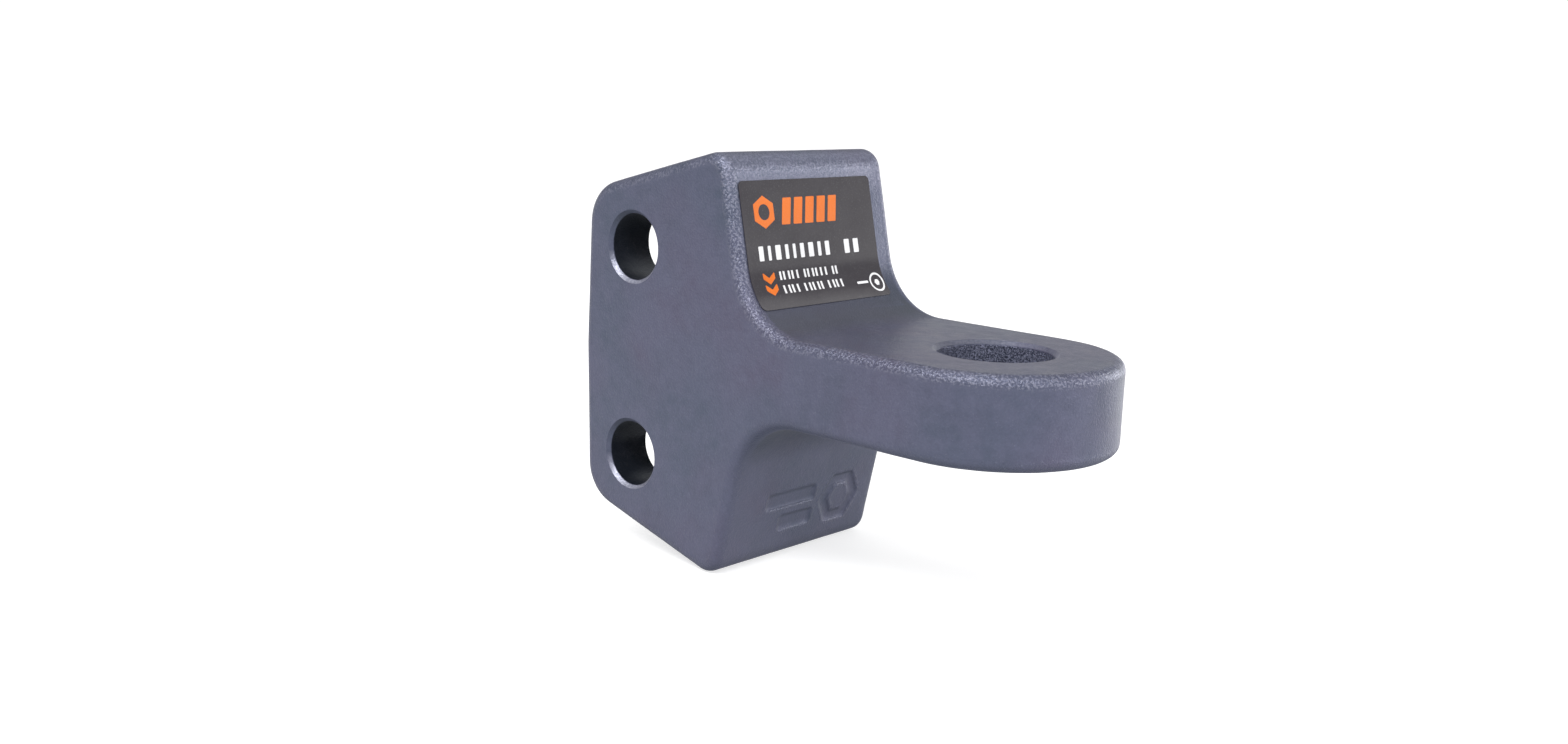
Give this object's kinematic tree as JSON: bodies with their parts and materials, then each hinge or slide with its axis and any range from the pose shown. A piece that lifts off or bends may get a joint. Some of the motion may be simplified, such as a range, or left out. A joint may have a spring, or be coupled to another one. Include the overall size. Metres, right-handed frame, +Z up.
{
  "type": "drop hitch ball platform head",
  "caption": "Cast ball platform for an adjustable drop hitch: open-backed channel with cross-pin holes, flat round-nosed arm with a tow ball bore, and a label.",
  "frame": {"origin": "midway between the two cross-pin axes, on the channel's centre plane, where the pins and the shank bar hold the part", "axes": "+X from the shank bar towards the arm's nose, +Y along the cross-pins, +Z up along the shank bar and the tow ball's axis"},
  "size_m": [0.1643, 0.069, 0.1232],
  "materials": {
    "head_paint": "fine sand-textured blue-grey powder coat with a faint metallic sparkle",
    "label_film": "semi-gloss printed vinyl, charcoal with orange and white shapes"
  },
  "bodies": {
    "root": {"hitch_head": "head_paint", "label": "label_film"}
  },
  "joints": []
}
